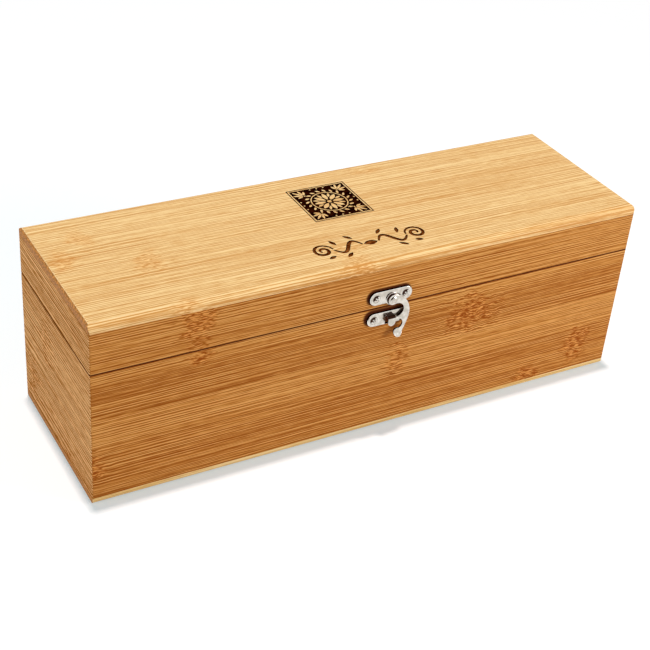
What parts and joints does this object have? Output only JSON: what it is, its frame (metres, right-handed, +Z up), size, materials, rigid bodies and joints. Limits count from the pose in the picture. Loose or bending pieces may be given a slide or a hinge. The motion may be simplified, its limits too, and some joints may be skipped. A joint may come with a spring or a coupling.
{
  "type": "wine box",
  "caption": "Long bamboo box for one lying bottle, with mitred frames, an overlaid top and bottom board, a lid on let-in hinges and a swing-hook latch.",
  "frame": {"origin": "middle of the underside of the bottom board, where the box rests", "axes": "+X along the box to its right end seen from the front, +Y from the front to the hinged back, +Z up"},
  "size_m": [0.36, 0.1188, 0.12],
  "materials": {
    "pale_bamboo": "satin",
    "amber_bamboo": "satin",
    "nickel": "polished"
  },
  "bodies": {
    "base": {"base_front_board": "amber_bamboo", "base_back_board": "amber_bamboo", "base_left_end": "amber_bamboo", "base_right_end": "amber_bamboo", "base_bottom_board": "pale_bamboo", "neck_rest": "pale_bamboo", "body_rest": "pale_bamboo", "left_hinge_base_leaf": "nickel", "right_hinge_base_leaf": "nickel", "left_hinge_pin": "nickel", "right_hinge_pin": "nickel", "hinge_base_screws": "nickel", "catch_plate": "nickel", "catch_plate_screws": "nickel"},
    "lid": {"lid_top_board": "pale_bamboo", "lid_front_board": "amber_bamboo", "lid_back_board": "amber_bamboo", "lid_left_end": "amber_bamboo", "lid_right_end": "amber_bamboo", "left_hinge_lid_leaf": "nickel", "right_hinge_lid_leaf": "nickel", "hinge_lid_screws": "nickel", "latch_plate": "nickel", "latch_plate_screws": "nickel", "latch_rivet": "nickel"},
    "hook": {"latch_hook": "nickel"}
  },
  "joints": [
    {"name": "lid_hinge", "type": "hinge", "parent": "base", "child": "lid", "pos_m": [0, 0.0555, 0.089], "axis": [-1, 0, 0], "range_deg": [0, 100]},
    {"name": "hook_swing", "type": "hinge", "parent": "lid", "child": "hook", "pos_m": [0.0041, -0.0592, 0.0944], "axis": [0, -1, 0], "range_deg": [-10, 120]}
  ]
}
